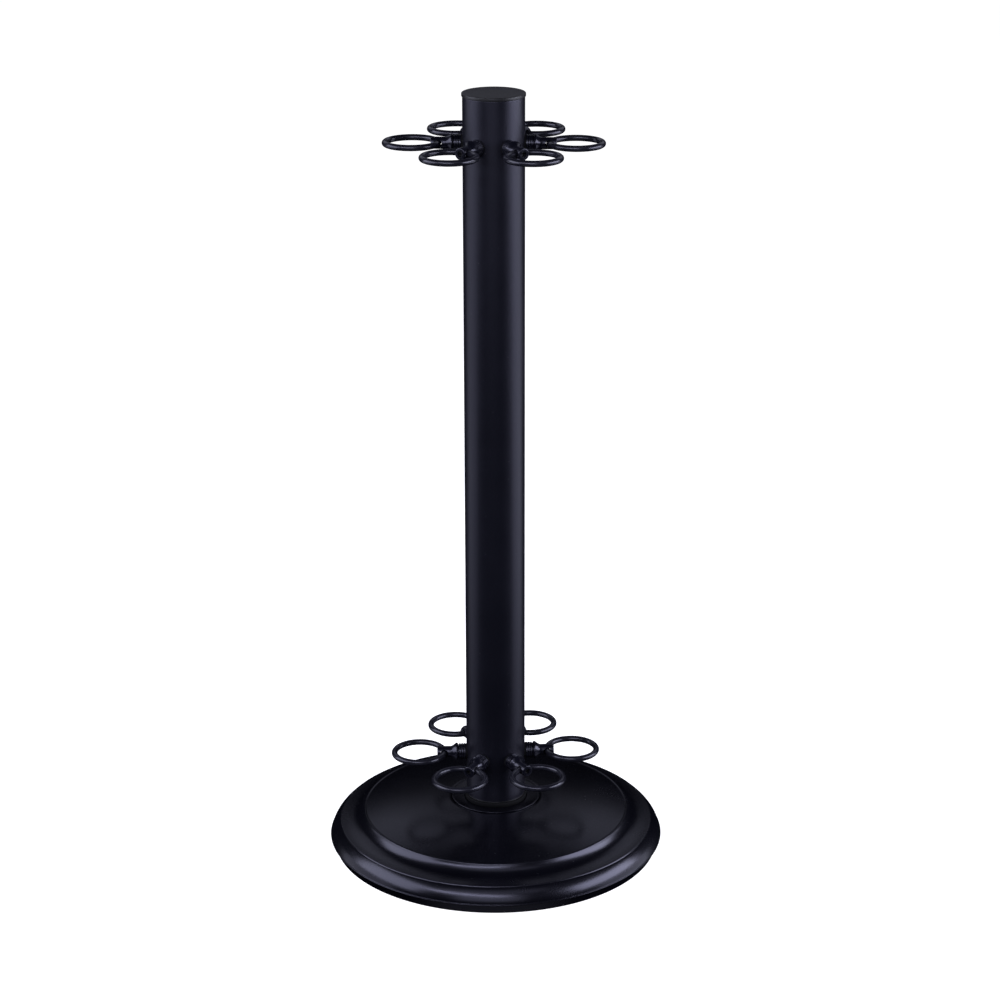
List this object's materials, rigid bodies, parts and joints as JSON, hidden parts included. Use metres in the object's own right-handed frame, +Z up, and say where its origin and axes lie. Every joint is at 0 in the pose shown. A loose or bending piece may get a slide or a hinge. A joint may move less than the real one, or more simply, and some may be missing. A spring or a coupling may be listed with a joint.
{
  "type": "cue rack",
  "caption": "Free-standing round cue stand: stepped base, straight column with a low cap, and an upper and a lower row of horizontal wire cue rings on turned stems.",
  "frame": {"origin": "centre of the base on the floor", "axes": "+Z up along the column; the stems numbered 1 point within 3 degrees of +X, and -Y faces the front"},
  "size_m": [0.311, 0.311, 0.711],
  "materials": {
    "black_coat": "satin black enamel",
    "stem_coat": "satin black enamel on turned steel",
    "wire_coat": "semi-gloss black enamel on steel wire",
    "cap_plastic": "fine matt",
    "gasket_rubber": "matt",
    "foot_rubber": "matt",
    "dark_steel": "blackened",
    "zinc_steel": "zinc plated",
    "ballast_iron": "as cast"
  },
  "bodies": {
    "stand": {"base_shell": "black_coat", "base_weight": "ballast_iron", "base_bottom_plate": "black_coat", "base_plate_screws": "zinc_steel", "base_foot_ring": "foot_rubber", "column_seat_ring": "black_coat", "column_foot_gasket": "gasket_rubber", "column_foot_ferrule": "dark_steel", "column_foot_plug": "zinc_steel", "column_tube": "black_coat", "column_top_plug": "zinc_steel", "column_cap": "cap_plastic", "tie_rod": "zinc_steel", "tie_rod_nut": "zinc_steel", "tie_rod_washer": "zinc_steel", "upper_stem_1": "stem_coat", "upper_stem_2": "stem_coat", "upper_stem_3": "stem_coat", "upper_stem_4": "stem_coat", "upper_stem_5": "stem_coat", "upper_stem_6": "stem_coat", "upper_saddles": "gasket_rubber", "upper_inner_saddles": "zinc_steel", "upper_stem_nuts": "zinc_steel", "upper_grub_screws": "dark_steel", "lower_stem_1": "stem_coat", "lower_stem_2": "stem_coat", "lower_stem_3": "stem_coat", "lower_stem_4": "stem_coat", "lower_stem_5": "stem_coat", "lower_stem_6": "stem_coat", "lower_saddles": "gasket_rubber", "lower_inner_saddles": "zinc_steel", "lower_stem_nuts": "zinc_steel", "lower_grub_screws": "dark_steel"},
    "upper_ring_1": {"upper_ring_1": "wire_coat"},
    "upper_ring_2": {"upper_ring_2": "wire_coat"},
    "upper_ring_3": {"upper_ring_3": "wire_coat"},
    "upper_ring_4": {"upper_ring_4": "wire_coat"},
    "upper_ring_5": {"upper_ring_5": "wire_coat"},
    "upper_ring_6": {"upper_ring_6": "wire_coat"},
    "lower_ring_1": {"lower_ring_1": "wire_coat"},
    "lower_ring_2": {"lower_ring_2": "wire_coat"},
    "lower_ring_3": {"lower_ring_3": "wire_coat"},
    "lower_ring_4": {"lower_ring_4": "wire_coat"},
    "lower_ring_5": {"lower_ring_5": "wire_coat"},
    "lower_ring_6": {"lower_ring_6": "wire_coat"}
  },
  "joints": [
    {"name": "upper_ring_1_hinge", "type": "hinge", "parent": "stand", "child": "upper_ring_1", "pos_m": [0.04807, -0.00168, 0.666], "axis": [-0.0349, -0.9994, 0], "range_deg": [-90, 90]},
    {"name": "upper_ring_2_hinge", "type": "hinge", "parent": "stand", "child": "upper_ring_2", "pos_m": [0.02549, 0.04079, 0.666], "axis": [0.848, -0.5299, 0], "range_deg": [-90, 90]},
    {"name": "upper_ring_3_hinge", "type": "hinge", "parent": "stand", "child": "upper_ring_3", "pos_m": [-0.02258, 0.04247, 0.666], "axis": [0.8829, 0.4695, 0], "range_deg": [-90, 90]},
    {"name": "upper_ring_4_hinge", "type": "hinge", "parent": "stand", "child": "upper_ring_4", "pos_m": [-0.04807, 0.00168, 0.666], "axis": [0.0349, 0.9994, 0], "range_deg": [-90, 90]},
    {"name": "upper_ring_5_hinge", "type": "hinge", "parent": "stand", "child": "upper_ring_5", "pos_m": [-0.02549, -0.04079, 0.666], "axis": [-0.848, 0.5299, 0], "range_deg": [-90, 90]},
    {"name": "upper_ring_6_hinge", "type": "hinge", "parent": "stand", "child": "upper_ring_6", "pos_m": [0.02258, -0.04247, 0.666], "axis": [-0.8829, -0.4695, 0], "range_deg": [-90, 90]},
    {"name": "lower_ring_1_hinge", "type": "hinge", "parent": "stand", "child": "lower_ring_1", "pos_m": [0.04805, 0.00227, 0.0909], "axis": [0.0471, -0.9989, 0], "range_deg": [-55, 90]},
    {"name": "lower_ring_2_hinge", "type": "hinge", "parent": "stand", "child": "lower_ring_2", "pos_m": [0.02206, 0.04274, 0.0909], "axis": [0.8886, -0.4586, 0], "range_deg": [-55, 90]},
    {"name": "lower_ring_3_hinge", "type": "hinge", "parent": "stand", "child": "lower_ring_3", "pos_m": [-0.02599, 0.04048, 0.0909], "axis": [0.8415, 0.5402, 0], "range_deg": [-55, 90]},
    {"name": "lower_ring_4_hinge", "type": "hinge", "parent": "stand", "child": "lower_ring_4", "pos_m": [-0.04805, -0.00227, 0.0909], "axis": [-0.0471, 0.9989, 0], "range_deg": [-55, 90]},
    {"name": "lower_ring_5_hinge", "type": "hinge", "parent": "stand", "child": "lower_ring_5", "pos_m": [-0.02206, -0.04274, 0.0909], "axis": [-0.8886, 0.4586, 0], "range_deg": [-55, 90]},
    {"name": "lower_ring_6_hinge", "type": "hinge", "parent": "stand", "child": "lower_ring_6", "pos_m": [0.02599, -0.04048, 0.0909], "axis": [-0.8415, -0.5402, 0], "range_deg": [-55, 90]}
  ]
}
